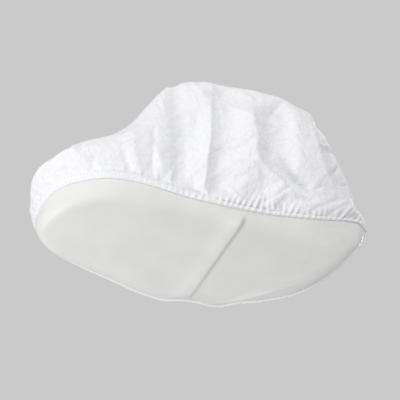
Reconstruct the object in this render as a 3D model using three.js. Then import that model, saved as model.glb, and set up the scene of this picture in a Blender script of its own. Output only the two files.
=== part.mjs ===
// Disposable cleanroom shoe cover, in the form it takes on a right shoe held clear of the ground.
// Millimetres. +X points to the heel, -X to the toe, -Y to the medial side (big toe), +Z up.
// The origin is on the inner face of the sole at mid length, where the wearer's foot sits.
import * as THREE from "three";
import { mergeVertices } from "three/addons/utils/BufferGeometryUtils.js";

// ---- driving dimensions ----
const panelThickness = 1.2; // spun-bonded side fabric
const soleThickness = 1.6; // coated sole sheet
const seamRadius = 1.9; // rolled seam round the sole, half its thickness
const ridgeRadius = 1.4; // standing seams at the front and the back
const gap = 0.3; // clearance between neighbouring pieces
const seamEase = 0.9; // clearance of the sides from the standing seams, where they meet at a sharp angle

const ankle = {
  centre: [30, -24, 146], // middle of the ankle opening
  halfLength: 70,
  halfWidth: 48,
  yaw: 15, // degrees that its back end is turned to the medial side
  frontRise: 14, // its front stands this much above the middle, its back as much below
  legAxis: [-0.1, -0.2, 1], // the shank leans forward and to the medial side
};
const hemBand = { height: 9, thickness: 2.6 }; // folded band with the elastic inside
// Pleats round the opening, fading down the wall. A second, smaller run of them makes them uneven.
const gathers = { count: 18, depth: 2.4, reach: 0.3, minorCount: 13, minorShare: 0.25, minorShift: 1 };
const crease = { along: 0.45, slant: 0.09, height: 3, toeward: 0.045, heelward: 0.02, fade: 14 }; // bend across the sole

const foldEnd = { length: 0.25, beyond: 0.125 }; // shares of a fold over which it fades, and by which it overruns
const seamLook = 0.02; // how far to each side a place on the seam looks for its outward direction
const wallLook = 0.01; // the same for a place on the wall
const soleEnds = 0.012; // share of the sole left off at the heel and toe points, clear of the seam there

const tubeSides = 6;
const mesh = { columns: 50, rows: 16, soleColumns: 44, soleRows: 10, seamSteps: 84, hemSteps: 108, ridgeSteps: 20 };
const weldDistance = 0.001; // points closer than this are one

// A short table: the first list names the columns, each further list is one row.
function table(names, ...rows) {
  return rows.map((row) => Object.fromEntries(names.map((name, i) => [name, row[i]])));
}

// The edge of the sole, from the heel point round the medial side to the toe.
const medialEdge = table(
  ["x", "y", "z"],
  [168, 0, 42],
  [157, -14, 37],
  [113, -29, 19],
  [70, -36, 12],
  [18, -46, 9],
  [-15, -51, 11],
  [-34, -56, 12],
  [-66, -62, 15],
  [-97, -63, 16],
  [-126, -54, 18],
  [-143, -44, 19],
  [-158, -26, 21],
  [-168, 2, 24],
);
// The same round the lateral side.
const lateralEdge = table(
  ["x", "y", "z"],
  [168, 0, 42],
  [160, 14, 34],
  [136, 40, 20],
  [104, 63, 12],
  [66, 75, 9],
  [45, 79, 9],
  [21, 86, 9],
  [0, 82, 9],
  [-18, 81, 9],
  [-33, 83, 10],
  [-61, 76, 12],
  [-91, 64, 15],
  [-121, 52, 18],
  [-150, 38, 22],
  [-164, 20, 24],
  [-168, 2, 24],
);

// Half the height of the rolled seam: it stands tall along the medial side of the toe and lies flat elsewhere.
const seamHeights = table(
  ["round", "half"],
  [0, 1.9],
  [0.35, 1.9],
  [0.5, 2.8],
  [0.7, 4.2],
  [0.87, 4.2],
  [1, 2.6],
  [1.15, 1.9],
  [2, 1.9],
);

// How far in from its edge the sole begins to curl up.
const soleWrap = table(
  ["along", "reach"],
  [0, 46],
  [0.3, 30],
  [0.7, 27],
  [1, 30],
);

// Sections of the wall, by their share of the way from heel to toe. Each rises from the sole seam over a belly
// (out from the seam and up) and a shoulder (its place) to the ankle opening, at an angle from its back. The
// crown is how far the wall arches out between belly and shoulder.
const wallColumns = ["along", "turn", "bellyOut", "bellyUp", "crown", "shoulderX", "shoulderY", "shoulderZ"];
const medialWall = table(
  wallColumns,
  [0, 0, -6, 20, 0, 130, -28, 92],
  [0.06, 14, 4, 36, 2, 125, -44, 103],
  [0.18, 38, 30, 58, 3, 107, -72, 117],
  [0.29, 60, 36, 58, 3, 70, -96, 124],
  [0.44, 92, 36, 55, 2, 14, -102, 130],
  [0.55, 112, 26, 50, 2, -34, -102, 128],
  [0.67, 134, 17, 36, 2, -57, -90, 112],
  [0.75, 146, 14, 30, 2, -70, -70, 92],
  [0.82, 156, 17, 28, 5, -84, -52, 84],
  [0.9, 167, 18, 22, 7, -96, -26, 80],
  [1, 180, 6, 18, 8, -100, 0, 76],
);
const lateralWall = table(
  wallColumns,
  [0, 0, -6, 20, 0, 130, -28, 92],
  [0.06, 14, 4, 34, 3, 128, -22, 114],
  [0.18, 38, 6, 46, 4, 108, 18, 114],
  [0.3, 62, 5, 48, 4, 76, 46, 118],
  [0.44, 88, 2, 52, 4, 26, 54, 122],
  [0.58, 116, 1, 50, 3, -24, 46, 118],
  [0.67, 134, 2, 40, 3, -52, 38, 106],
  [0.75, 147, 4, 33, 4, -74, 34, 93],
  [0.82, 157, 5, 26, 6, -88, 26, 84],
  [0.9, 168, 7, 20, 8, -97, 14, 79],
  [1, 180, 6, 18, 8, -100, 0, 76],
);

// Folds in the wall: a line from a place low on the wall to a place high on it (shares of the way from heel to
// toe, and of the way up), its depth (outward is positive) and its half width as a share of the side.
const foldColumns = ["side", "lowAlong", "lowUp", "highAlong", "highUp", "depth", "width"];
const folds = table(
  foldColumns,
  ["medial", 0.475, 0.06, 0.485, 0.72, -8, 0.022],
  ["medial", 0.42, 0.1, 0.43, 0.7, 4, 0.03],
  ["medial", 0.3, 0.25, 0.39, 0.75, -8, 0.03],
  ["medial", 0.22, 0.35, 0.3, 0.75, 5, 0.05],
  ["medial", 0.56, 0.12, 0.6, 0.7, -5, 0.03],
  ["medial", 0.66, 0.08, 0.63, 0.4, -3, 0.025],
  ["medial", 0.05, 0.1, 0.06, 0.85, -5, 0.025],
  ["medial", 0.8, 0.3, 0.74, 0.8, -3, 0.03],
  ["lateral", 0.1, 0.15, 0.1, 0.8, -5, 0.03],
  ["lateral", 0.28, 0.1, 0.24, 0.75, -6, 0.03],
  ["lateral", 0.44, 0.2, 0.4, 0.8, -5, 0.03],
  ["lateral", 0.55, 0.1, 0.58, 0.8, -6, 0.03],
  ["lateral", 0.7, 0.25, 0.66, 0.8, -4, 0.03],
);

// ---- smooth lines through table rows ----
// The value at t of a smooth line through (knots, values), with the slope at each knot set by its neighbours.
function through(knots, values, t) {
  let k = 0;
  while (k < knots.length - 2 && t > knots[k + 1]) k++;
  const slope = (i) => {
    const a = Math.max(i - 1, 0);
    const b = Math.min(i + 1, knots.length - 1);
    return (values[b] - values[a]) / (knots[b] - knots[a]);
  };
  const span = knots[k + 1] - knots[k];
  const s = (t - knots[k]) / span;
  const rise = values[k + 1] - values[k];
  const startSlope = slope(k) * span;
  const endSlope = slope(k + 1) * span;
  return (
    values[k] +
    s * startSlope +
    s * s * (3 * rise - 2 * startSlope - endSlope) +
    s * s * s * (startSlope + endSlope - 2 * rise)
  );
}

// Both sides joined at the toe into one run: 0 is the heel, 1 the toe and 2 the heel again.
function joinAtToe(medialKnots, medialRows, lateralKnots, lateralRows) {
  const back = lateralKnots.map((k) => 2 - k).slice(0, -1).reverse();
  const backRows = lateralRows.slice(0, -1).reverse();
  return { knots: [...medialKnots, ...back], rows: [...medialRows, ...backRows] };
}

// Shares of the way along a chain of points at which its points lie.
function lengthShares(rows) {
  const points = rows.map((r) => new THREE.Vector3(r.x, r.y, r.z));
  const runs = [0];
  for (let i = 1; i < points.length; i++) runs.push(runs[i - 1] + points[i].distanceTo(points[i - 1]));
  return runs.map((run) => run / runs[runs.length - 1]);
}

const edge = joinAtToe(lengthShares(medialEdge), medialEdge, lengthShares(lateralEdge), lateralEdge);
const wall = joinAtToe(
  medialWall.map((r) => r.along),
  medialWall,
  lateralWall.map((r) => r.along),
  lateralWall.map((r) => ({ ...r, turn: 360 - r.turn })),
);

function read(chain, name, t) {
  return through(chain.knots, chain.rows.map((r) => r[name]), t);
}

// The line where the sides meet the sole.
function seamPoint(t) {
  return new THREE.Vector3(read(edge, "x", t), read(edge, "y", t), read(edge, "z", t));
}

function seamHalfHeight(t) {
  return through(seamHeights.map((r) => r.round), seamHeights.map((r) => r.half), t);
}

// The level direction straight out of the cover at the sole seam.
function seamOutward(t) {
  const run = seamPoint((t + seamLook) % 2).sub(seamPoint((t + 2 - seamLook) % 2));
  return new THREE.Vector3(-run.y, run.x, 0).normalize();
}

// ---- the ankle opening ----
function anklePoint(turnDegrees, grow = 0) {
  const turn = THREE.MathUtils.degToRad(turnDegrees);
  const yaw = THREE.MathUtils.degToRad(ankle.yaw);
  const length = (ankle.halfLength + grow) * Math.cos(turn);
  const width = (ankle.halfWidth + grow) * Math.sin(turn);
  return new THREE.Vector3(...ankle.centre).add(
    new THREE.Vector3(
      length * Math.cos(yaw) - width * Math.sin(yaw),
      -length * Math.sin(yaw) - width * Math.cos(yaw),
      -ankle.frontRise * Math.cos(turn),
    ),
  );
}

// The level direction straight out of the ankle opening.
function ankleOutward(turnDegrees) {
  return anklePoint(turnDegrees, 1).sub(anklePoint(turnDegrees)).setZ(0).normalize();
}

// How far the pleats stand out at an angle round the opening.
function gatherWave(turnDegrees) {
  const turn = THREE.MathUtils.degToRad(turnDegrees);
  const minor = Math.cos(turn * gathers.minorCount + gathers.minorShift);
  return Math.cos(turn * gathers.count) * (1 - gathers.minorShare) + minor * gathers.minorShare;
}

// ---- the wall ----
function smoothFade(value) {
  const s = Math.min(Math.max(value, 0), 1);
  return s * s * (3 - 2 * s);
}

const sections = new Map();

// The wall's line from the sole seam to the hem, at t round the cover.
function wallSection(t) {
  if (sections.has(t)) return sections.get(t);
  const foot = seamPoint(t);
  const out = seamOutward(t);
  const belly = foot.clone().addScaledVector(out, read(wall, "bellyOut", t));
  belly.z += read(wall, "bellyUp", t);
  const shoulder = new THREE.Vector3(
    read(wall, "shoulderX", t),
    read(wall, "shoulderY", t),
    read(wall, "shoulderZ", t),
  );
  const top = anklePoint(read(wall, "turn", t));
  const chord = shoulder.clone().sub(belly);
  const arch = out.clone().multiplyScalar(chord.z).setZ(-chord.dot(out)).setLength(read(wall, "crown", t));
  const crown = belly.clone().addScaledVector(chord, 0.5).add(arch);
  const section = new THREE.CatmullRomCurve3([foot, belly, crown, shoulder, top], false, "centripetal");
  sections.set(t, section);
  return section;
}

// How far the folds push the wall out at a place.
function foldHeight(t, up) {
  const side = t <= 1 ? "medial" : "lateral";
  const along = t <= 1 ? t : 2 - t;
  let height = 0;
  for (const fold of folds) {
    if (fold.side !== side) continue;
    const share = (up - fold.lowUp) / (fold.highUp - fold.lowUp);
    const line = fold.lowAlong + (fold.highAlong - fold.lowAlong) * share;
    const across = (along - line) / fold.width;
    height += fold.depth * foldFade(share) * foldFade(1 - share) * Math.exp(-across * across);
  }
  return height;
}

// How much of a fold is there, by its distance from one of its ends.
function foldFade(fromEnd) {
  return smoothFade((fromEnd + foldEnd.beyond) / foldEnd.length);
}

// The direction out of the wall before folding.
function wallNormal(t, up) {
  const ahead = wallSection(Math.min(t + wallLook, 2)).getPointAt(up);
  const behind = wallSection(Math.max(t - wallLook, 0)).getPointAt(up);
  const rise = wallSection(t).getTangentAt(up);
  return rise.cross(ahead.sub(behind)).normalize();
}

// A place on the outside of the wall: t round the cover and a share of the way up from the sole seam.
function wallPoint(t, up) {
  const turn = read(wall, "turn", t);
  const pleat = gathers.depth * gatherWave(turn) * smoothFade((up - 1 + gathers.reach) / gathers.reach);
  return wallSection(t)
    .getPointAt(up)
    .addScaledVector(wallNormal(t, up), foldHeight(t, up))
    .addScaledVector(ankleOutward(turn), pleat);
}

// The shares of the way up at which a run of steps stands, clear of the seam below and the hem above.
function wallSteps(t, steps, clearance) {
  const length = wallSection(t).getLength();
  const low = (2 * seamHalfHeight(t) - seamRadius + clearance) / length;
  const high = 1 - gap / length;
  return Array.from({ length: steps + 1 }, (_, i) => low + (high - low) * (i / steps));
}

function sidePanel(start) {
  const grid = [];
  for (let i = 0; i <= mesh.columns; i++) {
    const t = start + i / mesh.columns;
    const column = wallSteps(t, mesh.rows, gap).map((up) => wallPoint(t, up));
    grid.push(column);
  }
  // The first and last columns step back to leave room for the standing seams.
  for (const [at, next] of [[0, 1], [mesh.columns, mesh.columns - 1]]) {
    grid[at].forEach((point, j) => {
      point.add(grid[next][j].clone().sub(point).setLength(ridgeRadius + seamEase));
    });
  }
  return sheetGeometry(grid, panelThickness);
}

// ---- the sole ----
// The sole's mesh lines run aslant across its middle, along the bend.
function solePoint(along, across) {
  const slant = crease.slant * Math.sin(Math.PI * along) ** 2;
  const medial = seamPoint(along - slant);
  const lateral = seamPoint(2 - along - slant);
  const halfWidth = medial.distanceTo(lateral) / 2;
  const reach = 1 - (seamRadius + gap) / halfWidth;
  const point = medial.clone().lerp(lateral, (1 - across * reach) / 2);
  const wrap = through(soleWrap.map((r) => r.along), soleWrap.map((r) => r.reach), along);
  const fromEdge = (1 - Math.abs(across * reach)) * halfWidth;
  const curl = Math.max(1 - fromEdge / wrap, 0) ** 2;
  point.z = point.z * curl - creaseHeight(along) * smoothFade((fromEdge - seamRadius) / crease.fade);
  return point;
}

// How far the bend stands out under the sole: a slow slope on its toe side and a steep one behind.
function creaseHeight(along) {
  const past = along - crease.along;
  const width = past > 0 ? crease.toeward : crease.heelward;
  return crease.height * Math.exp(-((past / width) ** 2));
}

function solePanel() {
  const grid = [];
  for (let i = 0; i <= mesh.soleColumns; i++) {
    const along = soleEnds + (1 - 2 * soleEnds) * (i / mesh.soleColumns);
    const row = [];
    for (let j = 0; j <= mesh.soleRows; j++) row.push(solePoint(along, 1 - (2 * j) / mesh.soleRows));
    grid.push(row);
  }
  return sheetGeometry(grid, -soleThickness);
}

// ---- seams and hem ----
// A closed loop of points round a place, oval across two directions.
function oval(centre, across, up, halfWidth, halfHeight) {
  return Array.from({ length: tubeSides }, (_, k) => {
    const angle = (2 * Math.PI * k) / tubeSides;
    return centre
      .clone()
      .addScaledVector(across, halfWidth * Math.cos(angle))
      .addScaledVector(up, halfHeight * Math.sin(angle));
  });
}

function soleSeam() {
  const ovals = Array.from({ length: mesh.seamSteps }, (_, i) => {
    const t = (2 * i) / mesh.seamSteps;
    const half = seamHalfHeight(t);
    const out = seamOutward(t);
    const up = wallSection(t).getTangentAt(0);
    const across = out.addScaledVector(up, -out.dot(up)).normalize();
    return oval(seamPoint(t).addScaledVector(up, half - seamRadius), across, up, seamRadius, half);
  });
  return sweptGeometry(ovals, true);
}

// The seam between the two sides, up the front or the back.
function standingSeam(t) {
  const points = wallSteps(t, mesh.ridgeSteps, gap + ridgeRadius).map((up) => wallPoint(t, up));
  const last = points.length - 1;
  const ovals = points.map((point, i) => {
    const run = points[Math.min(i + 1, last)].clone().sub(points[Math.max(i - 1, 0)]).normalize();
    const across = new THREE.Vector3(0, 1, 0).addScaledVector(run, -run.y).normalize();
    return oval(point, across, run.cross(across), ridgeRadius, ridgeRadius);
  });
  return sweptGeometry(ovals, false);
}

function ankleHem() {
  const axis = new THREE.Vector3(...ankle.legAxis).normalize();
  const half = hemBand.thickness / 2;
  const profiles = Array.from({ length: mesh.hemSteps }, (_, i) => {
    const turn = (360 * i) / mesh.hemSteps;
    const out = ankleOutward(turn);
    const middle = anklePoint(turn).addScaledVector(out, gathers.depth * gatherWave(turn) - half);
    const place = (aside, up) => middle.clone().addScaledVector(out, aside).addScaledVector(axis, up);
    return [
      place(-half, gap),
      place(half, gap),
      place(half, hemBand.height - half),
      place(0, hemBand.height),
      place(-half, hemBand.height - half),
    ];
  });
  return sweptGeometry(profiles, true);
}

// ---- closed solids ----
// A sheet: the grid is its outer face, and its inner face lies a thickness behind.
function sheetGeometry(grid, thickness) {
  const width = grid[0].length;
  const points = grid.flat();
  const faces = [];
  for (let i = 0; i + 1 < grid.length; i++) {
    for (let j = 0; j + 1 < width; j++) {
      const corner = i * width + j;
      faces.push([corner, corner + 1, corner + width + 1], [corner, corner + width + 1, corner + width]);
    }
  }
  const normals = points.map(() => new THREE.Vector3());
  for (const [a, b, c] of faces) {
    const normal = points[b].clone().sub(points[a]).cross(points[c].clone().sub(points[a]));
    for (const i of [a, b, c]) normals[i].add(normal);
  }
  const inner = points.map((point, i) => point.clone().addScaledVector(normals[i].normalize(), -thickness));
  const count = points.length;
  const backs = faces.map(([a, b, c]) => [a + count, c + count, b + count]);
  const rim = borderOf(grid.length, width);
  const sides = rim.flatMap((a, k) => {
    const b = rim[(k + 1) % rim.length];
    return [
      [a, a + count, b + count],
      [a, b + count, b],
    ];
  });
  const all = [...faces, ...backs, ...sides];
  return closedGeometry([...points, ...inner], thickness > 0 ? all : all.map(([a, b, c]) => [a, c, b]));
}

// The indices round the border of a grid, in order.
function borderOf(height, width) {
  const border = [];
  for (let j = 0; j + 1 < width; j++) border.push(j);
  for (let i = 0; i + 1 < height; i++) border.push(i * width + width - 1);
  for (let j = width - 1; j > 0; j--) border.push((height - 1) * width + j);
  for (let i = height - 1; i > 0; i--) border.push(i * width);
  return border;
}

// A run of sections, each a loop of points, joined into a ring or closed at its ends.
function sweptGeometry(sections, ring) {
  const sides = sections[0].length;
  const steps = ring ? sections.length : sections.length - 1;
  const triangles = [];
  for (let i = 0; i < steps; i++) {
    for (let j = 0; j < sides; j++) {
      const a = i * sides + j;
      const b = i * sides + ((j + 1) % sides);
      const c = ((i + 1) % sections.length) * sides + j;
      const d = ((i + 1) % sections.length) * sides + ((j + 1) % sides);
      triangles.push([a, b, d], [a, d, c]);
    }
  }
  const last = (sections.length - 1) * sides;
  for (let j = 1; !ring && j + 1 < sides; j++) triangles.push([0, j + 1, j], [last, last + j, last + j + 1]);
  return closedGeometry(sections.flat(), triangles);
}

function closedGeometry(points, triangles) {
  const raw = new THREE.BufferGeometry();
  raw.setAttribute("position", new THREE.Float32BufferAttribute(points.flatMap((p) => p.toArray()), 3));
  raw.setIndex(triangles.flat());
  const geometry = mergeVertices(raw, weldDistance);
  if (signedVolume(geometry) < 0) geometry.setIndex(Array.from(geometry.index.array).reverse());
  geometry.computeVertexNormals();
  return geometry;
}

function signedVolume(geometry) {
  const position = geometry.attributes.position;
  const index = geometry.index.array;
  const corner = (i) => new THREE.Vector3().fromBufferAttribute(position, index[i]);
  let volume = 0;
  for (let i = 0; i < index.length; i += 3) volume += corner(i).dot(corner(i + 1).cross(corner(i + 2)));
  return volume;
}

// ---- the cover ----
function material(color, roughness) {
  return new THREE.MeshStandardMaterial({ color, roughness, metalness: 0 });
}

function piece(name, geometry, look) {
  const solid = new THREE.Mesh(geometry, look);
  solid.name = name;
  return solid;
}

const cover = new THREE.Group();
cover.name = "cleanroom_shoe_cover";
cover.add(
  piece("sole_panel", solePanel(), material("#d9d9d7", 0.45)),
  piece("medial_panel", sidePanel(0), material("#f3f3f6", 0.6)),
  piece("lateral_panel", sidePanel(1), material("#f3f3f6", 0.6)),
  piece("sole_seam", soleSeam(), material("#f8f8fa", 0.55)),
  piece("front_seam", standingSeam(1), material("#f8f8fa", 0.6)),
  piece("back_seam", standingSeam(0), material("#f8f8fa", 0.6)),
  piece("ankle_hem", ankleHem(), material("#f6f6f9", 0.6)),
);

export default cover;
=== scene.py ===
import math

import bmesh
import bpy
import numpy as np
from mathutils import Matrix, Vector


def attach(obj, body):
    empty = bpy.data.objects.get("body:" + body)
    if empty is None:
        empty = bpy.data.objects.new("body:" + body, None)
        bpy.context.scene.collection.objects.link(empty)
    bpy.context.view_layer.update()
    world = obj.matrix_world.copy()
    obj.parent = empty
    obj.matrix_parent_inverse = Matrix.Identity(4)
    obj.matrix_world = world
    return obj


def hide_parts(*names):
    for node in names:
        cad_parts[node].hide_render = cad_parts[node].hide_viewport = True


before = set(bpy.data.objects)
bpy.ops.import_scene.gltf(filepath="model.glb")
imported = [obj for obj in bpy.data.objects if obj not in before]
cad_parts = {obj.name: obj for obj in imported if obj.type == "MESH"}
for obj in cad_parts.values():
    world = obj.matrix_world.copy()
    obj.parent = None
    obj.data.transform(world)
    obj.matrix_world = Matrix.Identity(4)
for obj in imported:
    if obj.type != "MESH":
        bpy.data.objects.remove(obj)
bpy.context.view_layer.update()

mm = 0.001
tiny = 1e-9  # keeps a division away from nought
print("the packed cover is loaded")

# The cover lies with its heel to +X, its big-toe side to -Y and its ankle opening up. Sizes are millimetres.
# Places round it run from the heel (0) along the big-toe side to the toe (1) and back to the heel (2).
cover = {
    "medialEdge": [  # x, y, z of the sole's edge, from the heel to the toe
        (168, 0, 42), (157, -14, 37), (113, -29, 19), (70, -36, 12), (18, -46, 9), (-15, -51, 11),
        (-34, -56, 12), (-66, -62, 15), (-97, -63, 16), (-126, -54, 18), (-143, -44, 19), (-158, -26, 21),
        (-168, 2, 24),
    ],
    "lateralEdge": [
        (168, 0, 42), (160, 14, 34), (136, 40, 20), (104, 63, 12), (66, 75, 9), (45, 79, 9), (21, 86, 9),
        (0, 82, 9), (-18, 81, 9), (-33, 83, 10), (-61, 76, 12), (-91, 64, 15), (-121, 52, 18),
        (-150, 38, 22), (-164, 20, 24), (-168, 2, 24),
    ],
    "medialWall": [  # share from the heel, turn round the ankle, belly out and up, crown, shoulder's x, y, z
        (0, 0, -6, 20, 0, 130, -28, 92), (0.06, 14, 4, 36, 2, 125, -44, 103),
        (0.18, 38, 30, 58, 3, 107, -72, 117), (0.29, 60, 36, 58, 3, 70, -96, 124),
        (0.44, 92, 36, 55, 2, 14, -102, 130), (0.55, 112, 26, 50, 2, -34, -102, 128),
        (0.67, 134, 17, 36, 2, -57, -90, 112), (0.75, 146, 14, 30, 2, -70, -70, 92),
        (0.82, 156, 17, 28, 5, -84, -52, 84), (0.9, 167, 18, 22, 7, -96, -26, 80),
        (1, 180, 6, 18, 8, -100, 0, 76),
    ],
    "lateralWall": [
        (0, 0, -6, 20, 0, 130, -28, 92), (0.06, 14, 4, 34, 3, 128, -22, 114),
        (0.18, 38, 6, 46, 4, 108, 18, 114), (0.3, 62, 5, 48, 4, 76, 46, 118),
        (0.44, 88, 2, 52, 4, 26, 54, 122), (0.58, 116, 1, 50, 3, -24, 46, 118),
        (0.67, 134, 2, 40, 3, -52, 38, 106), (0.75, 147, 4, 33, 4, -74, 34, 93),
        (0.82, 157, 5, 26, 6, -88, 26, 84), (0.9, 168, 7, 20, 8, -97, 14, 79),
        (1, 180, 6, 18, 8, -100, 0, 76),
    ],
    "seamHeights": [  # place round the cover, half height of the rolled seam there
        (0, 1.9), (0.35, 1.9), (0.5, 2.8), (0.7, 4.2), (0.87, 4.2), (1, 2.6), (1.15, 1.9), (2, 1.9),
    ],
    "seamRadius": 1.9,
    "seamLook": 0.02,  # how far to both sides the seam's direction is taken over
    "seamSamples": 800,
    "ankleCentre": (30, -24, 146),
    "ankleHalfLength": 70,
    "ankleHalfWidth": 48,
    "ankleYaw": 15,
    "ankleRise": 14,  # of the opening's toe end above its centre
    "legAxis": (-0.1, -0.2, 1),
    "pleats": 18,
    "minorPleats": 13,
    "minorShare": 0.25,
    "minorShift": 1,
    "pleatDepth": 2.4,
    "pleatReach": 0.3,  # share of the wall, from the opening down, over which the pleats die away
}


def through(knots, values, t):
    # a smooth line through the values, its slope at each knot set by the neighbours
    knots, values, t = (np.asarray(a, float) for a in (knots, values, t))
    k = np.clip(np.searchsorted(knots, t, side="left") - 1, 0, len(knots) - 2)
    before = np.maximum(np.arange(len(knots)) - 1, 0)
    after = np.minimum(np.arange(len(knots)) + 1, len(knots) - 1)
    slopes = (values[after] - values[before]) / (knots[after] - knots[before])
    span = knots[k + 1] - knots[k]
    s = (t - knots[k]) / span
    rise = values[k + 1] - values[k]
    a = slopes[k] * span
    b = slopes[k + 1] * span
    return values[k] + s * a + s**2 * (3 * rise - 2 * a - b) + s**3 * (a + b - 2 * rise)


def joinAtToe(medialKnots, medialRows, lateralKnots, lateralRows):
    # one table round the cover out of one for each side
    knots = list(medialKnots) + [2 - k for k in lateralKnots[:-1]][::-1]
    return knots, np.array(list(medialRows) + list(lateralRows[:-1])[::-1], float)


def lengthShares(points):
    # how far along the line through them each point lies, from 0 to 1
    steps = np.linalg.norm(np.diff(np.array(points, float), axis=0), axis=1)
    runs = np.concatenate([[0], np.cumsum(steps)])
    return runs / runs[-1]


edgeKnots, edgeRows = joinAtToe(
    lengthShares(cover["medialEdge"]),
    cover["medialEdge"],
    lengthShares(cover["lateralEdge"]),
    cover["lateralEdge"],
)
wallKnots, wallRows = joinAtToe(
    [row[0] for row in cover["medialWall"]],
    cover["medialWall"],
    [row[0] for row in cover["lateralWall"]],
    [(row[0], 360 - row[1], *row[2:]) for row in cover["lateralWall"]],
)


def unit(v):
    return v / np.maximum(np.linalg.norm(v, axis=-1, keepdims=True), tiny)


def fade(x):
    s = np.clip(x, 0, 1)
    return s * s * (3 - 2 * s)


def seamPoint(t):
    return np.stack([through(edgeKnots, edgeRows[:, i], t) for i in range(3)], axis=-1)


def seamOutward(t):
    look = cover["seamLook"]
    run = seamPoint((t + look) % 2) - seamPoint((t + 2 - look) % 2)
    return unit(np.stack([-run[..., 1], run[..., 0], 0 * run[..., 0]], axis=-1))


def seamHalfHeight(t):
    heights = cover["seamHeights"]
    return through([h[0] for h in heights], [h[1] for h in heights], t)


def seamRun(t):
    # millimetres along the sole's edge
    fine = np.linspace(0, 2, cover["seamSamples"] + 1)
    steps = np.linalg.norm(np.diff(seamPoint(fine), axis=0), axis=1)
    return np.interp(t, fine, np.concatenate([[0], np.cumsum(steps)]))


def wallTurn(t):
    return through(wallKnots, wallRows[:, 1], t)


def anklePoint(turn, grow=0):
    a = np.radians(turn)
    yaw = math.radians(cover["ankleYaw"])
    length = (cover["ankleHalfLength"] + grow) * np.cos(a)
    width = (cover["ankleHalfWidth"] + grow) * np.sin(a)
    x = length * math.cos(yaw) - width * math.sin(yaw)
    y = -length * math.sin(yaw) - width * math.cos(yaw)
    return np.array(cover["ankleCentre"], float) + np.stack([x, y, -cover["ankleRise"] * np.cos(a)], axis=-1)


def ankleOutward(turn):
    out = anklePoint(turn, 1) - anklePoint(turn)
    out[..., 2] = 0
    return unit(out)


def pleatWave(turn):
    # even pleats with a few uneven ones among them
    a = np.radians(turn)
    minor = np.cos(a * cover["minorPleats"] + cover["minorShift"])
    return np.cos(a * cover["pleats"]) * (1 - cover["minorShare"]) + minor * cover["minorShare"]


def smoothLine(line, steps):
    # a centripetal curve through the points of each line
    padded = np.concatenate([2 * line[:, :1] - line[:, 1:2], line, 2 * line[:, -1:] - line[:, -2:-1]], axis=1)
    s = (np.arange(steps) / steps)[None, :, None]
    runs = []
    for k in range(line.shape[1] - 1):
        p0, p1, p2, p3 = (padded[:, k + i] for i in range(4))
        spans = (p1 - p0, p2 - p1, p3 - p2)
        d0, d1, d2 = (np.sqrt(np.linalg.norm(span, axis=1, keepdims=True)) for span in spans)
        a = ((p1 - p0) / d0 - (p2 - p0) / (d0 + d1) + (p2 - p1) / d1) * d1
        b = ((p2 - p1) / d1 - (p3 - p1) / (d1 + d2) + (p3 - p2) / d2) * d1
        a, b, p1, p2 = (v[:, None] for v in (a, b, p1, p2))
        runs.append(p1 + s * a + s**2 * (3 * (p2 - p1) - 2 * a - b) + s**3 * (a + b - 2 * (p2 - p1)))
    return np.concatenate(runs + [line[:, -1:]], axis=1)


def wallLines(t, steps=80):
    # fine lines up the wall before folding, one for each place round the cover, with their lengths
    values = [through(wallKnots, wallRows[:, i], t) for i in range(2, 8)]
    foot = seamPoint(t)
    out = seamOutward(t)
    belly = foot + out * values[0][:, None]
    belly[:, 2] += values[1]
    shoulder = np.stack(values[3:], axis=-1)
    chord = shoulder - belly
    arch = out * chord[:, 2:3]
    arch[:, 2] = -np.sum(chord * out, axis=1)
    crown = belly + chord / 2 + unit(arch) * values[2][:, None]
    lines = smoothLine(np.stack([foot, belly, crown, shoulder, anklePoint(wallTurn(t))], axis=1), steps)
    runs = np.cumsum(np.linalg.norm(np.diff(lines, axis=1), axis=2), axis=1)
    return lines, np.concatenate([np.zeros((len(t), 1)), runs], axis=1)


def alongLines(lines, runs, shares):
    # points at the given shares of each line's length
    grid = np.empty(shares.shape + (3,))
    for i in range(len(lines)):
        for axis in range(3):
            grid[i, :, axis] = np.interp(shares[i] * runs[i, -1], runs[i], lines[i, :, axis])
    return grid


def gridNormals(grid):
    return unit(np.cross(np.gradient(grid, axis=1), np.gradient(grid, axis=0)))


# Meshes


def gridMesh(name, points, uvSize=(1, 1)):
    # a sheet of quads with its vertices at the given places; a new grid runs from -1 to 1
    columns, rows = points.shape[0] - 1, points.shape[1] - 1
    bm = bmesh.new()
    bmesh.ops.create_grid(bm, x_segments=columns, y_segments=rows, size=1)
    for face in bm.faces:
        face.smooth = True
    mesh = bpy.data.meshes.new(name)
    bm.to_mesh(mesh)
    bm.free()
    flat = np.empty(len(mesh.vertices) * 3, np.float32)
    mesh.vertices.foreach_get("co", flat)
    i = np.rint((flat[0::3] + 1) / 2 * columns).astype(int)
    j = np.rint((flat[1::3] + 1) / 2 * rows).astype(int)
    mesh.vertices.foreach_set("co", (points[i, j] * mm).astype(np.float32).ravel())
    corners = np.empty(len(mesh.loops), np.int32)
    mesh.loops.foreach_get("vertex_index", corners)
    uv = np.stack([i[corners] / columns * uvSize[0], j[corners] / rows * uvSize[1]], axis=-1)
    mesh.uv_layers.new(name="cloth").data.foreach_set("uv", uv.astype(np.float32).ravel())
    mesh.update()
    return mesh, i, j


def addPiece(name, mesh):
    piece = bpy.data.objects.new(name, mesh)
    bpy.context.scene.collection.objects.link(piece)
    return piece


def closeDoubles(mesh, distance=0.02):
    bm = bmesh.new()
    bm.from_mesh(mesh)
    bmesh.ops.remove_doubles(bm, verts=bm.verts, dist=distance * mm)
    bmesh.ops.recalc_face_normals(bm, faces=bm.faces)
    bm.to_mesh(mesh)
    bm.free()


def thicken(piece, thickness):
    solid = piece.modifiers.new("thickness", "SOLIDIFY")
    solid.thickness = thickness * mm
    solid.offset = -1


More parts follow.
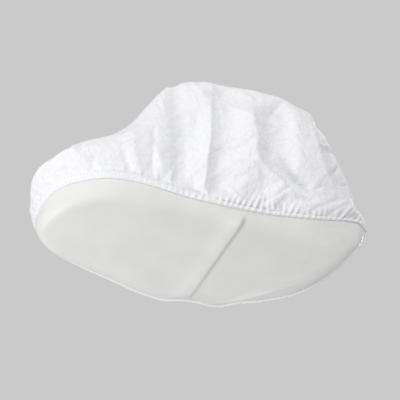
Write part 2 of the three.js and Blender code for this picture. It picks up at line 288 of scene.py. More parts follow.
def upsample(field, columns, rows):
    # a smooth enlargement of a grid of vectors
    for size in (columns, rows):
        knots = np.linspace(0, 1, field.shape[0])
        wanted = np.linspace(0, 1, size + 1)
        flat = field.reshape(field.shape[0], -1)
        field = np.stack([through(knots, flat[:, k], wanted) for k in range(flat.shape[1])], axis=-1)
        field = np.swapaxes(field.reshape(size + 1, -1, 3), 0, 1)
    return field


# Materials


class Value:
    # a node's output that sums can be written with
    def __init__(self, finish, socket):
        self.finish = finish
        self.socket = socket

    def maths(self, operation, *values):
        return self.finish.node("ShaderNodeMath", {"operation": operation}, dict(enumerate(values)))

    def __add__(self, other):
        return self.maths("ADD", self, other)

    def __sub__(self, other):
        return self.maths("SUBTRACT", self, other)

    def __rsub__(self, other):
        return self.maths("SUBTRACT", other, self)

    def __mul__(self, other):
        return self.maths("MULTIPLY", self, other)

    __radd__ = __add__
    __rmul__ = __mul__


class Finish:
    def __init__(self, name, **constants):
        self.material = bpy.data.materials.new(name)
        self.material.use_nodes = True
        self.tree = self.material.node_tree
        self.shader = self.tree.nodes["Principled BSDF"]
        for socketName, value in constants.items():
            self.shader.inputs[socketName.replace("_", " ")].default_value = value

    def node(self, kind, settings=None, inputs=None, output=0):
        made = self.tree.nodes.new(kind)
        for key, value in (settings or {}).items():
            if key == "stops":
                setStops(made.color_ramp.elements, value)
            else:
                setattr(made, key, value)
        for key, value in (inputs or {}).items():
            if isinstance(value, Value):
                self.tree.links.new(value.socket, made.inputs[key])
            else:
                made.inputs[key].default_value = value
        return Value(self, made.outputs[output])

    def feed(self, socketName, value):
        self.tree.links.new(value.socket, self.shader.inputs[socketName])

    def places(self, kind):
        return self.node("ShaderNodeTexCoord", output=kind)

    def noise(self, where, size, detail, roughness, stretch=(1, 1, 1)):
        # clouds of about the given size in millimetres
        moved = self.node("ShaderNodeMapping", inputs={"Vector": where, "Scale": stretch})
        return self.node("ShaderNodeTexNoise", inputs={
            "Vector": moved, "Scale": 1 / (size * mm), "Detail": detail, "Roughness": roughness,
        })

    def blend(self, factor, first, second):
        # 0, 6 and 7 are the mix's factor and colours, and 2 is the colour that comes out
        return self.node("ShaderNodeMix", {"data_type": "RGBA"}, {0: factor, 6: first, 7: second}, output=2)

    def ramp(self, value, stops):
        return self.node("ShaderNodeValToRGB", {"stops": stops}, {"Fac": value})

    def bump(self, height, strength, depth, under=None):
        # depth in millimetres
        sockets = {"Height": height, "Strength": strength, "Distance": depth * mm}
        if under:
            sockets["Normal"] = under
        return self.node("ShaderNodeBump", inputs=sockets)


def setStops(elements, stops):
    while len(elements) < len(stops):
        elements.new(0.5)  # it gets its own place below
    for element, (place, level) in zip(elements, stops):
        element.position = place
        element.color = (level, level, level, 1)


spunCloth = {  # noises are size in millimetres, detail and roughness; bumps are strength and depth
    "colour": (0.895, 0.897, 0.912, 1),
    "thinColour": (0.82, 0.823, 0.845, 1),
    "thinStops": [(0.42, 1), (0.6, 0)],
    "thinShare": 0.6,
    "roughness": 0.62,
    "roughnessSpread": 0.2,
    "sheen": 0.12,
    "sheenRoughness": 0.4,
    "clouds": (5, 4, 0.65),
    "fibres": (1.1, 3, 0.6),
    "fibreStretch": 0.3,
    "fibreShare": 0.3,  # of the fibres in where the cloth looks thin, the rest being clouds
    "fibreBump": (0.3, 0.12),
    "creaseSize": 16,
    "creaseBends": (32, 2, 0.5),
    "creaseBend": 0.02,
    "creaseStops": [(0, 0), (0.09, 0.8), (0.25, 1)],
    "creaseBump": (0.35, 0.6),
    "crinkles": (7, 4, 0.6),
    "crinkleBump": (0.5, 1.4),
    "crumpled": {"side": 1.4, "seam": 0.4, "hem": 0.7},  # how strong creases and crinkles are on each piece
}


def makeSpunCloth(pieceName):
    # pressed fibre web: cloudy where fibres lie thin, with fine hairlines and soft crinkles
    look = spunCloth
    crumpled = look["crumpled"][pieceName]
    finish = Finish(
        pieceName + "SpunCloth", Roughness=look["roughness"], Sheen_Weight=look["sheen"],
        Sheen_Roughness=look["sheenRoughness"],
    )
    where = finish.places("UV")
    clouds = finish.noise(where, *look["clouds"])
    fibres = finish.noise(where, *look["fibres"], (1, look["fibreStretch"], 1))
    crossed = finish.noise(where, *look["fibres"], (look["fibreStretch"], 1, 1))
    web = fibres * 0.5 + crossed * 0.5
    thin = finish.ramp(clouds * (1 - look["fibreShare"]) + web * look["fibreShare"], look["thinStops"])
    finish.feed("Base Color", finish.blend(thin * look["thinShare"], look["colour"], look["thinColour"]))
    finish.feed("Roughness", look["roughness"] + (clouds - 0.5) * look["roughnessSpread"])
    bends = finish.noise(where, *look["creaseBends"])
    bent = finish.node("ShaderNodeVectorMath", {"operation": "MULTIPLY_ADD"}, {
        0: bends, 1: [look["creaseBend"]] * 3, 2: where,
    })
    cells = finish.node("ShaderNodeTexVoronoi", {"feature": "DISTANCE_TO_EDGE"}, {
        "Vector": bent, "Scale": 1 / (look["creaseSize"] * mm),
    })
    strength, depth = look["creaseBump"]
    creases = finish.bump(finish.ramp(cells, look["creaseStops"]), strength * crumpled, depth)
    strength, depth = look["crinkleBump"]
    crinkles = finish.bump(finish.noise(where, *look["crinkles"]), strength * crumpled, depth, creases)
    finish.feed("Normal", finish.bump(web, *look["fibreBump"], crinkles))
    return finish.material


vinylSheet = {  # noises and bumps as for the cloth
    "colour": (0.79, 0.787, 0.775, 1),
    "wornColour": (0.75, 0.747, 0.735, 1),
    "wear": (40, 5, 0.6),
    "wearStops": [(0.4, 0), (0.7, 1)],
    "specular": 0.4,
    "roughness": 0.46,
    "roughnessSpread": 0.22,
    "rubs": (9, 4, 0.7),
    "rubStretch": (1, 3, 1),
    "grain": (0.9, 2, 0.5),
    "grainBump": (0.16, 0.1),
    "ripples": (34, 2, 0.4),
    "rippleBump": (0.5, 1.6),
}


def makeVinylSheet():
    # calendered film: nearly plain, with a fine matt grain and slow ripples
    look = vinylSheet
    finish = Finish("vinylSheet", Specular_IOR_Level=look["specular"])
    where = finish.places("UV")
    worn = finish.ramp(finish.noise(where, *look["wear"]), look["wearStops"])
    finish.feed("Base Color", finish.blend(worn, look["colour"], look["wornColour"]))
    rubs = finish.noise(where, *look["rubs"], look["rubStretch"])
    finish.feed("Roughness", look["roughness"] + (rubs - 0.5) * look["roughnessSpread"])
    grain = finish.noise(where, *look["grain"])
    ripples = finish.bump(finish.noise(where, *look["ripples"]), *look["rippleBump"])
    finish.feed("Normal", finish.bump(grain, *look["grainBump"], ripples))
    return finish.material


whiteThread = {
    "colour": (0.93, 0.93, 0.94, 1),
    # painted shade: the darker colour given to the grooves between the plies
    "paintedGrooveShade": (0.84, 0.84, 0.85, 1),
    "roughness": 0.5,
    "sheen": 0.3,
    "plyScale": 700,
    "plyBump": (0.5, 0.1),
}


def makeThread():
    # two plies, twisted; the grooves between them get a darker colour, which is painted shade
    look = whiteThread
    finish = Finish("whiteThread", Roughness=look["roughness"], Sheen_Weight=look["sheen"])
    plies = finish.node("ShaderNodeTexWave", {"bands_direction": "DIAGONAL"}, {
        "Vector": finish.places("Object"), "Scale": look["plyScale"],
    })
    # painted shade: the grooves between the plies are blended to a darker colour
    finish.feed("Base Color", finish.blend(plies, look["paintedGrooveShade"], look["colour"]))
    finish.feed("Normal", finish.bump(plies, *look["plyBump"]))
    return finish.material


sideMaterial = makeSpunCloth("side")
seamMaterial = makeSpunCloth("seam")
hemMaterial = makeSpunCloth("hem")
soleMaterial = makeVinylSheet()
threadMaterial = makeThread()
print("finishes are made")


def dress(piece, material, slotName, *nodes):
    piece.data.materials.append(material)
    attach(piece, "root")
    if nodes:
        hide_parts(*nodes)
    return piece


# The side panels, one sheet from heel to toe on each side

sides = {
    "columns": 320,
    "rows": 128,
    "thickness": 0.6,
    "clothSize": (0.4, 0.16),  # metres of cloth that the finish is laid out over
    "tuck": 1.2,  # how far the sheet's foot reaches into the rolled seam
    "simColumns": 130,
    "simRows": 56,
    "enlarged": 10,  # the simulation runs this many times as large as life
    "frames": 26,
    "growth": 0.04,  # how much larger the cloth is than its place
    "clothSettings": {
        "quality": 6,
        "mass": 0.1,
        "tension_stiffness": 30,
        "compression_stiffness": 30,
        "shear_stiffness": 12,
        "bending_stiffness": 0.4,
        "air_damping": 2,
    },
    "reach": 6,  # the farthest that the simulation moves a point
    "foldEndLength": 0.12,
    "foldFoot": 9,  # folds grow to full depth over this much above the seam
    "crumples": 110,  # short shallow folds, scattered
    "crumpleSeeds": (11, 4),
    "crumpleLow": (0, 0.8),
    "crumpleAlong": (0.08, 0.92),
    "crumpleDepth": (0.3, 0.95),
    "crumpleLength": (0.05, 0.22),
    "crumpleSlant": 0.045,
    "crumpleWidth": (0.007, 0.013),
    "crumpleSoftness": 1.4,
    "medialFolds": [  # line of (up, along) from low to high, depth, widths to the toe and the heel, softness
        ([(0.02, 0.475), (0.35, 0.478), (0.74, 0.47)], 3.6, 0.03, 0.009, 1.1),
        ([(0.02, 0.445), (0.35, 0.447), (0.74, 0.445)], -5.5, 0.028, 0.045, 2),
        ([(0.14, 0.245), (0.2, 0.278), (0.31, 0.357), (0.45, 0.368), (0.66, 0.376)], 6, 0.045, 0.035, 1.15),
        ([(0.14, 0.2), (0.25, 0.27), (0.33, 0.318), (0.45, 0.328), (0.66, 0.335)], -6, 0.028, 0.035, 1.7),
        ([(0.28, 0.24), (0.45, 0.252), (0.72, 0.262)], 5, 0.03, 0.045, 1.8),
        ([(0.06, 0.548), (0.35, 0.56), (0.72, 0.552)], -4.5, 0.026, 0.014, 1.8),
        ([(0.04, 0.615), (0.34, 0.63)], -2, 0.014, 0.008, 1.4),
        ([(0.04, 0.648), (0.34, 0.686)], 1.4, 0.016, 0.01, 1.4),
        ([(0.05, 0.675), (0.25, 0.7)], -1.6, 0.014, 0.01, 1.4),
        ([(0.1, 0.595), (0.24, 0.625)], 1.4, 0.01, 0.01, 1.4),
        ([(0.1, 0.79), (0.6, 0.72)], 6, 0.06, 0.035, 2),
        ([(0.04, 0.06), (0.22, 0.13), (0.31, 0.178), (0.6, 0.215), (0.8, 0.22)], 6.5, 0.045, 0.028, 1.15),
        ([(0.1, 0.02), (0.3, 0.1), (0.6, 0.15), (0.85, 0.165)], 3.5, 0.02, 0.035, 1.2),
        ([(0.1, 0.05), (0.85, 0.06)], -5, 0.025, 0.025, 2),
        ([(0.3, 0.8), (0.8, 0.74)], -3, 0.03, 0.03, 2),
    ],
    "medialCreases": [  # the same, lying: line of (along, up), depth, widths upwards and downwards, softness
        ([(0.6, 0.1), (0.7, 0.085), (0.86, 0.12)], -1.5, 0.035, 0.02, 1.3),
        ([(0.62, 0.22), (0.76, 0.17)], 1.2, 0.03, 0.03, 1.5),
        ([(0.37, 0.56), (0.41, 0.6), (0.445, 0.64), (0.472, 0.73)], 4.5, 0.07, 0.03, 1.3),
    ],
    "lateralCreases": [
        ([(0.45, 0.14), (0.62, 0.11)], -1.2, 0.03, 0.02, 1.4),
    ],
    "lateralFolds": [
        ([(0.15, 0.1), (0.8, 0.1)], -5, 0.03, 0.03, 2),
        ([(0.1, 0.28), (0.4, 0.27), (0.75, 0.24)], -6, 0.02, 0.035, 1.5),
        ([(0.25, 0.35), (0.7, 0.33)], 3, 0.03, 0.02, 1.3),
        ([(0.2, 0.44), (0.8, 0.4)], -5, 0.025, 0.03, 1.6),
        ([(0.1, 0.55), (0.8, 0.58)], -6, 0.03, 0.02, 1.5),
        ([(0.1, 0.62), (0.6, 0.63)], 2, 0.02, 0.015, 1.2),
        ([(0.25, 0.7), (0.8, 0.66)], -4, 0.03, 0.03, 1.8),
    ],
}

gathers = {
    "drift": 2.2,  # how far their spacing wanders, in radians
    "size": (0.05, 1.25),
    "seamSpacing": 6.2,  # along the sole's edge
    "seamDepth": 1.2,
    "seamReach": (4, 15),  # how far up they die away
    "seamLean": 0.5,
    "seamWaveSeed": 5,
    "seamLeanSeed": 7,
    "smoothToe": 0.3,  # share of a side next to the toe that has none
    "smoothToeFade": 0.2,
    "ankleCount": 58,
    "ankleDepth": 1.1,
    "ankleReach": 0.2,
    "ankleSeed": 6,
}


def foldHeight(running, crossing, folds):
    # each fold is a ridge or valley along its line, at half its depth where the line ends
    height = np.zeros(running.shape)
    for line, depth, ahead, behind, softness in folds:
        places = [point[0] for point in line]
        inside = np.clip(running, places[0], places[-1])
        past = crossing - through(places, [point[1] for point in line], inside)
        across = np.abs(past) / np.where(past > 0, ahead, behind)
        ends = fade(np.minimum(running - places[0], places[-1] - running) / sides["foldEndLength"] + 0.5)
        height += depth * ends * np.exp(-(across**softness))
    return height


def scatteredFolds(seed):
    # short ones that run up the side, in or out
    rng = np.random.default_rng(seed)
    folds = []
    for _ in range(sides["crumples"]):
        low = rng.uniform(*sides["crumpleLow"])
        high = low + rng.uniform(*sides["crumpleLength"])
        along = rng.uniform(*sides["crumpleAlong"])
        slant = rng.uniform(-1, 1) * sides["crumpleSlant"]
        depth = rng.uniform(*sides["crumpleDepth"]) * rng.choice((-1, 1))
        ahead, behind = rng.uniform(*sides["crumpleWidth"], 2)
        line = [(low, along - slant), (high, along + slant)]
        folds.append((line, depth, ahead, behind, sides["crumpleSoftness"]))
    return folds


def gatherWave(share, count, seed):
    # uneven gathers round a closed edge: their spacing and size wander
    rng = np.random.default_rng(seed)
    knots = np.linspace(0, 1, count // 2 + 1)
    drift = rng.uniform(-gathers["drift"], gathers["drift"], len(knots))
    size = rng.uniform(*gathers["size"], len(knots))
    drift[-1] = drift[0]
    size[-1] = size[0]
    return through(knots, size, share) * np.sin(2 * math.pi * count * share + through(knots, drift, share))


def seamGathers(t, heights=0):
    # how far the gathered edge stands out round the sole seam, and at heights above it
    length = float(seamRun(2))
    count = round(length / gathers["seamSpacing"])
    rng = np.random.default_rng(gathers["seamLeanSeed"])
    knots = np.linspace(0, 2, count // 3)
    lean = through(knots, rng.uniform(-1, 1, len(knots)) * gathers["seamLean"], t)
    reach = through(knots, rng.uniform(*gathers["seamReach"], len(knots)), t)
    wave = gatherWave((seamRun(t) + lean * heights) / length, count, gathers["seamWaveSeed"])
    smooth = fade((np.abs(t - 1) - gathers["smoothToe"]) / gathers["smoothToeFade"])
    return gathers["seamDepth"] * wave * smooth * np.exp(-((heights / reach) ** 2))


def ankleGathers(turn):
    return gathers["ankleDepth"] * gatherWave(turn / 360, gathers["ankleCount"], gathers["ankleSeed"])


def sideGrid(start, columns, rows):
    # the folded sheet from the heel (start 0) or the toe (start 1) on, and the gathers at its foot
    t = start + np.linspace(0, 1, columns + 1)
    lines, runs = wallLines(t)
    low = (2 * seamHalfHeight(t) - cover["seamRadius"] - sides["tuck"]) / runs[:, -1]
    up = low[:, None] + (1 - low)[:, None] * np.linspace(0, 1, rows + 1)
    grid = alongLines(lines, runs, up)
    side = "medial" if start == 0 else "lateral"
    along = np.broadcast_to((t if start == 0 else 2 - t)[:, None], up.shape)
    out = foldHeight(up, along, sides[side + "Folds"] + scatteredFolds(sides["crumpleSeeds"][start]))
    out += foldHeight(along, up, sides[side + "Creases"])
    turn = wallTurn(t)
    pleat = cover["pleatDepth"] * pleatWave(turn)[:, None] * fade((up - 1) / cover["pleatReach"] + 1)
    pleat += ankleGathers(turn)[:, None] * fade((up - 1) / gathers["ankleReach"] + 1)
    heights = (up - low[:, None]) * runs[:, -1:]
    out *= fade(heights / sides["foldFoot"])
    grid = grid + gridNormals(grid) * out[..., None] + ankleOutward(turn)[:, None] * pleat[..., None]
    return grid, seamGathers(t[:, None], heights)


def crumple(points):
    # cloth a little larger than its place, held by its border, settles into folds of its own
    enlarged = sides["enlarged"]
    mesh, i, j = gridMesh("crumpling", points * enlarged)
    columns, rows = points.shape[0] - 1, points.shape[1] - 1
    cloth = addPiece("crumpling", mesh)
    held = cloth.vertex_groups.new(name="held")
    border = (i == 0) | (i == columns) | (j == 0) | (j == rows)
    held.add([int(v) for v in np.flatnonzero(border)], 1, "REPLACE")
    start = np.empty(len(mesh.vertices) * 3, np.float32)
    mesh.vertices.foreach_get("co", start)
    modifier = cloth.modifiers.new("cloth", "CLOTH")
    settings = modifier.settings
    for settingName, value in sides["clothSettings"].items():
        setattr(settings, settingName, value)
    settings.vertex_group_mass = "held"
    settings.shrink_min = -sides["growth"]
    settings.shrink_max = -sides["growth"]
    settings.effector_weights.gravity = 0
    modifier.collision_settings.use_collision = False
    modifier.point_cache.frame_start = 1
    modifier.point_cache.frame_end = sides["frames"]
    for frameNumber in range(1, sides["frames"] + 1):
        bpy.context.scene.frame_set(frameNumber)
    settled = cloth.evaluated_get(bpy.context.evaluated_depsgraph_get())
    moved = np.empty(len(mesh.vertices) * 3, np.float32)
    settled.data.vertices.foreach_get("co", moved)
    shift = np.zeros(points.shape)
    shift[i, j] = (moved - start).reshape(-1, 3) / mm / enlarged
    bpy.context.scene.frame_set(1)
    bpy.data.objects.remove(cloth)
    size = np.linalg.norm(shift, axis=-1, keepdims=True)
    print("crumpled by up to", round(float(size.max()), 2), "mm, mean", round(float(size.mean()), 2))
    return shift * (sides["reach"] * np.tanh(size / sides["reach"]) / np.maximum(size, tiny))


def makeSide(name, node, start):
    grid, edgeGathers = sideGrid(start, sides["columns"], sides["rows"])
    coarse, _ = sideGrid(start, sides["simColumns"], sides["simRows"])
    grid = grid + upsample(crumple(coarse), sides["columns"], sides["rows"])
    grid = grid + gridNormals(grid) * edgeGathers[..., None]
    outwards = grid[::-1]  # with its columns in this order, its faces point out of the cover
    mesh, _, _ = gridMesh(name, outwards, sides["clothSize"])
    side = dress(addPiece(name, mesh), sideMaterial, "side_cloth", node)
    thicken(side, sides["thickness"])
    return side


medialSide = makeSide("medialSide", "medial_panel", 0)
lateralSide = makeSide("lateralSide", "lateral_panel", 1)
print("side panels are made")


# The sole sheet

sole = {
    "columns": 300,
    "rows": 100,
    "thickness": 0.5,
    "clothSize": (0.34, 0.14),
    "ends": 0.004,  # share of the length that the sheet leaves free at the heel and the toe
    "underSeam": 0.4,  # share of the seam's radius by which the sheet's edge stays inside it
    "curlReach": [(0, 56), (0.3, 38), (0.7, 35), (1, 40)],  # place along, width of the curled edge there
    "curlPower": 2.6,
    "curlMiddle": 0.4,  # share of the half width over which the two curled edges blend
    "crease": 5,
    "creaseTaper": 0.5,  # share of its depth that the crease loses on the way to the little-toe side
    "creaseAlong": 0.45,
    "creaseSlant": 0.09,
    "creaseToeward": 0.036,
    "creaseHeelward": 0.007,
    "creaseFade": 14,  # it dies away over this much before the seam
    "fold": 3.6,
    "foldLine": [(-0.9, 0.36), (-0.83, 0.33), (-0.63, 0.27), (-0.5, 0.2)],  # across, along
    "foldEndLength": 0.1,
    "foldToeward": 0.035,
    "foldHeelward": 0.007,
    "groove": 0.35,
    "grooveIn": 5,  # from the edge
    "grooveWidth": 0.7,
}


def solePlaces(along, across):
    # across runs from 1 at the big-toe side to -1 at the little-toe side; the edges curl up to the seam
    slant = sole["creaseSlant"] * np.sin(math.pi * along) ** 2
    medial = seamPoint(np.maximum(along - slant, 0))
    lateral = seamPoint(np.minimum(2 - along - slant, 2))
    halfWidth = np.linalg.norm(medial - lateral, axis=-1) / 2
    reach = 1 - sole["underSeam"] * cover["seamRadius"] / halfWidth
    inward = across[None, :] * reach[:, None]
    points = medial[:, None] + (lateral - medial)[:, None] * ((1 - inward) / 2)[..., None]
    fromEdge = (1 - np.abs(inward)) * halfWidth[:, None]
    wrap = through([k[0] for k in sole["curlReach"]], [k[1] for k in sole["curlReach"]], along)
    middle = sole["curlMiddle"]
    spread = (np.sqrt(inward**2 + middle**2) - middle) / (math.sqrt(1 + middle**2) - middle)
    curl = np.maximum(1 - (1 - spread) * halfWidth[:, None] / wrap[:, None], 0) ** sole["curlPower"]
    past = along - sole["creaseAlong"]
    width = np.where(past > 0, sole["creaseToeward"], sole["creaseHeelward"])
    bend = sole["crease"] * np.exp(-((past / width) ** 2))
    bend = bend[:, None] * fade((fromEdge - cover["seamRadius"]) / sole["creaseFade"])
    taper = 1 - sole["creaseTaper"] * (1 - inward) / 2
    ends = [k[0] for k in sole["foldLine"]]
    foldAlong = through(ends, [k[1] for k in sole["foldLine"]], np.clip(inward, ends[0], ends[-1]))
    foldPast = along[:, None] - foldAlong
    foldWidth = np.where(foldPast > 0, sole["foldToeward"], sole["foldHeelward"])
    foldEnds = fade(np.minimum(inward - ends[0], ends[-1] - inward) / sole["foldEndLength"])
    fold = sole["fold"] * foldEnds * np.exp(-((foldPast / foldWidth) ** 2))
    groove = sole["groove"] * np.exp(-(((fromEdge - sole["grooveIn"]) / sole["grooveWidth"]) ** 2))
    points[..., 2] = points[..., 2] * curl - bend * taper - fold + groove
    return points


def makeSole():
    along = sole["ends"] + (1 - 2 * sole["ends"]) * np.linspace(0, 1, sole["columns"] + 1)
    across = np.linspace(1, -1, sole["rows"] + 1)
    mesh, _, _ = gridMesh("soleSheet", solePlaces(along, across), sole["clothSize"])
    sheet = dress(addPiece("soleSheet", mesh), soleMaterial, "sole_sheet", "sole_panel")
    thicken(sheet, sole["thickness"])
    return sheet


soleSheet = makeSole()
print("sole sheet is made")


# The rolled seam round the sole

welt = {
    "steps": 900,
    "sides": 16,
    "clothSize": (0.8, 0.012),
    "wallSteps": 12,  # of the wall's lines, whose first step gives the seam's lean
    "ripple": 0.25,  # share of the gathers that the seam follows
    "stitchPitch": 3.4,
    "stitchSlant": 1.3,
    "stitchFrom": -100,  # degrees round the seam
    "stitchTo": 100,
    "stitchLift": 0.02,
    "runSamples": 2000,
}


def weltRings(t, angle, grow=0):
    # ovals across the rolled seam: angle 0 is straight out of the cover, 90 degrees up the wall
    half = seamHalfHeight(t)
    out = seamOutward(t)
    lines, _ = wallLines(t, welt["wallSteps"])
    rise = unit(lines[:, 1] - lines[:, 0])
    across = unit(out - rise * np.sum(out * rise, axis=-1, keepdims=True))
    ripple = welt["ripple"] * seamGathers(t)
    centre = seamPoint(t) + rise * (half - cover["seamRadius"])[:, None] + across * ripple[:, None]
    aside = (cover["seamRadius"] + grow + ripple)[:, None] * np.cos(angle)
    lift = (half + grow)[:, None] * np.sin(angle)
    return centre[:, None] + across[:, None] * aside[..., None] + rise[:, None] * lift[..., None]


def makeWelt():
    t = np.linspace(0, 2, welt["steps"] + 1)
    rings = weltRings(t, np.linspace(0, 2 * math.pi, welt["sides"] + 1)[None])
    rings[-1] = rings[0]
    mesh, _, _ = gridMesh("soleWelt", rings, welt["clothSize"])
    closeDoubles(mesh)
    return dress(addPiece("soleWelt", mesh), seamMaterial, "seam_cloth", "sole_seam")


thread = {
    "radius": 0.24,
    "sides": 4,
    "points": 8,  # along one stitch
    "nudge": 1e-4,  # keeps a straight stitch from having no side to turn to
    "join": 0.01,
}


def threadMesh(name, paths):
    # short round threads, one along each path, closed at their ends
    bm = bmesh.new()
    angle = np.linspace(0, 2 * math.pi, thread["sides"] + 1)[:, None]
    for path in paths:
        steps = len(path) - 1
        run = unit(np.gradient(path, axis=0))
        sag = path[steps // 2] - (path[0] + path[-1]) / 2
        across = unit(np.cross(run, sag + thread["nudge"]))
        away = np.cross(run, across)
        thick = thread["radius"] * np.where((np.arange(steps + 1) % steps) == 0, 0, 1)[:, None, None]
        rings = path[:, None] + thick * (across[:, None] * np.cos(angle) + away[:, None] * np.sin(angle))
        made = bmesh.ops.create_grid(bm, x_segments=steps, y_segments=thread["sides"], size=1)["verts"]
        for vertex in made:
            i = round((vertex.co.x + 1) / 2 * steps)
            j = round((vertex.co.y + 1) / 2 * thread["sides"])
            vertex.co = Vector(rings[i, j]) * mm
    for face in bm.faces:
        face.smooth = True
    mesh = bpy.data.meshes.new(name)
    bm.to_mesh(mesh)
    bm.free()
    closeDoubles(mesh, thread["join"])
    return mesh


def makeWeltStitches():
    length = float(seamRun(2))
    fine = np.linspace(0, 2, welt["runSamples"] + 1)
    runs = seamRun(fine)
    share = np.linspace(0, 1, thread["points"])
    angle = np.radians(welt["stitchFrom"] + (welt["stitchTo"] - welt["stitchFrom"]) * share)
    paths = []
    for k in range(int(length / welt["stitchPitch"])):
        along = (k + 0.5) * welt["stitchPitch"] + (share - 0.5) * welt["stitchSlant"]
        t = np.interp(along % length, runs, fine)
        paths.append(weltRings(t, angle[:, None], welt["stitchLift"])[:, 0])
    return dress(addPiece("weltStitches", threadMesh("weltStitches", paths)), threadMaterial, "seam_cloth")


soleWelt = makeWelt()
weltStitches = makeWeltStitches()
print("sole seam is made")


# The standing seams between the sides, up the front and the back

ridges = {
    "halfWidth": 0.8,
    "stand": 1.5,
    "steps": 110,
    "sides": 12,
    "clothSize": (0.12, 0.009),
    "wallColumns": 60,  # of the side that the seam's line is taken from
    "stitchPitch": 3.4,
    "stitchSlant": 1.2,
    "stitchFrom": -20,  # degrees round the seam
    "stitchTo": 200,
    "stitchLift": 0.12,
}


def ridgeRings(t, angle, grow=0):
    # flattened ovals across the standing seam, which leans on neither side; t is 0 at the heel, 1 at the toe
    wall, _ = sideGrid(t, ridges["wallColumns"], ridges["steps"])
    line = wall[0]
    run = unit(np.gradient(line, axis=0))
    across = unit(np.array([0, 1, 0]) - run * run[:, 1:2])
    away = np.cross(run, across)
    away *= np.sign(away[len(away) // 2, 0] * (1 - 2 * t))
    aside = (ridges["halfWidth"] + grow) * np.cos(angle)
    stand = (ridges["stand"] + grow) * np.sin(angle)
    return line[:, None] + across[:, None] * aside[..., None] + away[:, None] * stand[..., None]


def makeRidge(name, node, t):
    rings = ridgeRings(t, np.linspace(0, 2 * math.pi, ridges["sides"] + 1)[None])
    rings[[0, -1]] = rings[[0, -1]].mean(axis=1, keepdims=True)
    mesh, _, _ = gridMesh(name, rings, ridges["clothSize"])
    closeDoubles(mesh)
    return dress(addPiece(name, mesh), seamMaterial, "seam_cloth", node)


def makeRidgeStitches(name, t):
    columns = np.arange(thread["points"])
    share = columns / (thread["points"] - 1)
    angle = np.radians(ridges["stitchFrom"] + (ridges["stitchTo"] - ridges["stitchFrom"]) * share)
    rings = ridgeRings(t, angle[None], ridges["stitchLift"])
    top = rings[:, thread["points"] // 2]
    lengths = np.concatenate([[0], np.cumsum(np.linalg.norm(np.diff(top, axis=0), axis=1))])
    paths = []
    for k in range(1, int(lengths[-1] / ridges["stitchPitch"])):
        along = k * ridges["stitchPitch"] + (share - 0.5) * ridges["stitchSlant"]
        rows = np.interp(along, lengths, np.arange(len(lengths)))
        low = rows.astype(int)
        part = (rows - low)[:, None]
        paths.append(rings[low, columns] * (1 - part) + rings[low + 1, columns] * part)
    return dress(addPiece(name, threadMesh(name, paths)), threadMaterial, "seam_cloth")


frontRidge = makeRidge("frontRidge", "front_seam", 1)
backRidge = makeRidge("backRidge", "back_seam", 0)
frontStitches = makeRidgeStitches("frontStitches", 1)
backStitches = makeRidgeStitches("backStitches", 0)
print("standing seams are made")


# The casing round the ankle, gathered by the elastic inside it

casing = {
    "steps": 1440,
    "sides": 24,
    "clothSize": (0.7, 0.022),
    "overlap": 1,  # how far it reaches down over the sides
    "height": 9,
    "thickness": 2.2,
    "flatness": 0.6,  # power that flattens the band's rounded faces
    "outset": 0.3,
    "puff": 0.5,
    "puffSeed": 16,
    "frill": 1,
    "frillFrom": 0.5,  # share of the way up, above which the frill is loose
    "frillCount": 67,
    "frillSeed": 26,
    "rise": 0.6,  # unevenness of the top edge
    "riseCount": 37,
    "riseSeed": 36,
    "channel": 0.5,  # depth of the sewn line below the elastic
    "channelAt": 0.22,
    "channelWidth": 0.06,
}


def makeCasing():
    turn = np.linspace(0, 360, casing["steps"] + 1)
    angle = np.linspace(0, 2 * math.pi, casing["sides"] + 1)[None]
    share = (1 + np.sin(angle)) / 2  # of the way up the band
    loose = fade((share - casing["frillFrom"]) / (1 - casing["frillFrom"]))
    puff = casing["puff"] * gatherWave(turn / 360, gathers["ankleCount"], casing["puffSeed"])[:, None]
    frill = casing["frill"] * gatherWave(turn / 360, casing["frillCount"], casing["frillSeed"])[:, None]
    rise = casing["rise"] * gatherWave(turn / 360, casing["riseCount"], casing["riseSeed"])[:, None]
    pinch = casing["channel"] * np.exp(-(((share - casing["channelAt"]) / casing["channelWidth"]) ** 2))
    half = casing["thickness"] / 2 + puff * np.sin(math.pi * share) - pinch
    band = half * np.sign(np.cos(angle)) * np.abs(np.cos(angle)) ** casing["flatness"]
    wave = cover["pleatDepth"] * pleatWave(turn)[:, None] + ankleGathers(turn)[:, None]
    aside = wave + frill * loose - casing["thickness"] / 2 + band + casing["outset"]
    lift = (casing["height"] + casing["overlap"]) * share - casing["overlap"] + rise * loose
    axis = unit(np.array(cover["legAxis"], float))
    out = ankleOutward(turn)
    rings = anklePoint(turn)[:, None] + out[:, None] * aside[..., None] + axis * lift[..., None]
    rings[-1] = rings[0]
    mesh, _, _ = gridMesh("ankleCasing", rings, casing["clothSize"])
    closeDoubles(mesh)
    return dress(addPiece("ankleCasing", mesh), hemMaterial, "hem_cloth", "ankle_hem")


ankleCasing = makeCasing()
print("ankle casing is made")


# The studio

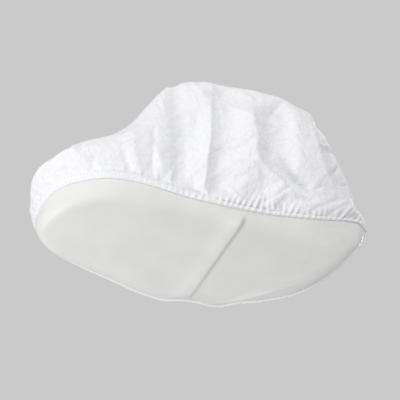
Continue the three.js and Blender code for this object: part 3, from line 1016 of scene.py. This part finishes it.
studio = {
    "elevation": -54,
    "roll": -4,
    "distance": 1.6,
    "lens": 144,
    "lift": 0.044,  # of the point that the camera looks at
    "floorDepth": -3,
    "floorSize": 60,
    "floorRoughness": 0.8,
    "floorColours": ((0.92, 0.92, 0.925, 1), (0.95, 0.95, 0.955, 1)),
    "floorMottle": (500, 3, 0.5),  # a noise's size in millimetres, detail and roughness
    "world": (0.59, 0.59, 0.593, 1),
    "lights": {  # direction, distance and width in metres, watts
        "keyLight": ((-0.16, -0.96, 0.12), 2.6, 0.7, 24),
        "soleLight": ((-0.7, -0.03, -0.71), 0.9, 0.3, 2.9),
        "topLight": ((0.5, 0.6, 0.9), 2.6, 0.9, 22),
    },
}


def viewAxes():
    e = math.radians(studio["elevation"])
    roll = math.radians(studio["roll"])
    back = Vector((0, -math.cos(e), math.sin(e)))
    right = Vector((1, 0, 0))
    up = back.cross(right)
    return right * math.cos(roll) - up * math.sin(roll), right * math.sin(roll) + up * math.cos(roll), back


def placeCamera():
    right, up, back = viewAxes()
    camera = bpy.data.objects.new("camera", bpy.data.cameras.new("camera"))
    camera.data.lens = studio["lens"]
    target = up * studio["lift"]
    turn = Matrix((right, up, back)).transposed().to_4x4()
    camera.matrix_world = Matrix.Translation(target + back * studio["distance"]) @ turn
    bpy.context.scene.collection.objects.link(camera)
    bpy.context.scene.camera = camera


def softLight(name, direction, distance, size, watts):
    lamp = bpy.data.lights.new(name, "AREA")
    lamp.shape = "DISK"
    lamp.size = size
    lamp.energy = watts
    light = bpy.data.objects.new(name, lamp)
    direction = Vector(direction).normalized()
    turn = direction.to_track_quat("Z", "Y").to_matrix().to_4x4()
    light.matrix_world = Matrix.Translation(direction * distance) @ turn
    bpy.context.scene.collection.objects.link(light)


def makeFloor():
    bm = bmesh.new()
    bmesh.ops.create_grid(bm, x_segments=1, y_segments=1, size=studio["floorSize"])
    bmesh.ops.translate(bm, vec=(0, 0, studio["floorDepth"]), verts=bm.verts)
    mesh = bpy.data.meshes.new("studioFloor")
    bm.to_mesh(mesh)
    bm.free()
    floor = addPiece("studioFloor", mesh)
    finish = Finish("palePaint", Roughness=studio["floorRoughness"])
    mottle = finish.noise(finish.places("Object"), *studio["floorMottle"])
    finish.feed("Base Color", finish.blend(mottle, *studio["floorColours"]))
    floor.data.materials.append(finish.material)


def lightTheWorld():
    world = bpy.data.worlds.new("paleStudio")
    world.use_nodes = True
    world.node_tree.nodes["Background"].inputs["Color"].default_value = studio["world"]
    bpy.context.scene.world = world


placeCamera()
for lightName, place in studio["lights"].items():
    softLight(lightName, *place)
makeFloor()
lightTheWorld()
bpy.context.scene.view_settings.view_transform = "Standard"
print("studio is set")
